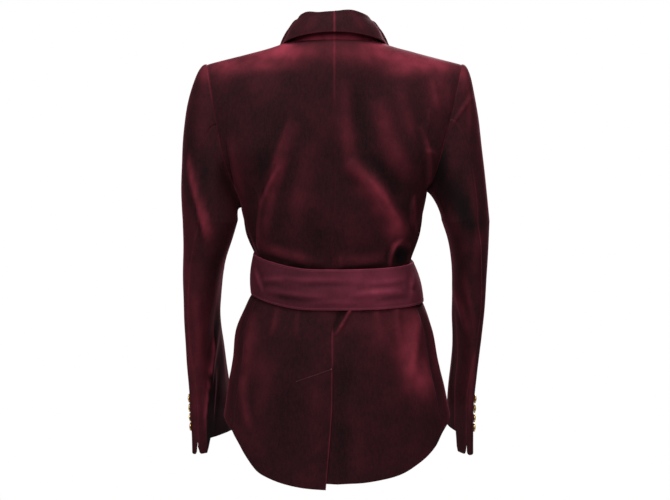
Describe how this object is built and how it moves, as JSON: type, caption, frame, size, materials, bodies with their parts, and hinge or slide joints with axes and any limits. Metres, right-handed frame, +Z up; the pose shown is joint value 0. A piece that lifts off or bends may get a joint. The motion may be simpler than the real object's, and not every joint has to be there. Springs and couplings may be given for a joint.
{
  "type": "belted blazer",
  "caption": "Velvet blazer in its worn, hollow form: shawl collar, set-in sleeves, wide waist belt and a flared, vented skirt.",
  "frame": {"origin": "midway between the two points where the shoulder seams meet the neck", "axes": "+Z up, front towards -Y, back towards +Y, the wearer's left towards +X"},
  "size_m": [0.4909, 0.2527, 0.7429],
  "materials": {
    "burgundy_velvet": "cut-pile velvet with a pink sheen at grazing angles",
    "belt_velvet": "the same velvet, its nap brushed lighter",
    "button_brass": "polished"
  },
  "bodies": {
    "root": {"back_left": "burgundy_velvet", "side_left": "burgundy_velvet", "front_left": "burgundy_velvet", "collar_left": "burgundy_velvet", "sleeve_upper_left": "burgundy_velvet", "sleeve_under_left": "burgundy_velvet", "back_right": "burgundy_velvet", "side_right": "burgundy_velvet", "front_right": "burgundy_velvet", "collar_right": "burgundy_velvet", "sleeve_upper_right": "burgundy_velvet", "sleeve_under_right": "burgundy_velvet", "belt": "belt_velvet", "button_left_1": "button_brass", "button_left_2": "button_brass", "button_left_3": "button_brass", "button_left_4": "button_brass", "button_right_1": "button_brass", "button_right_2": "button_brass", "button_right_3": "button_brass", "button_right_4": "button_brass"}
  },
  "joints": []
}
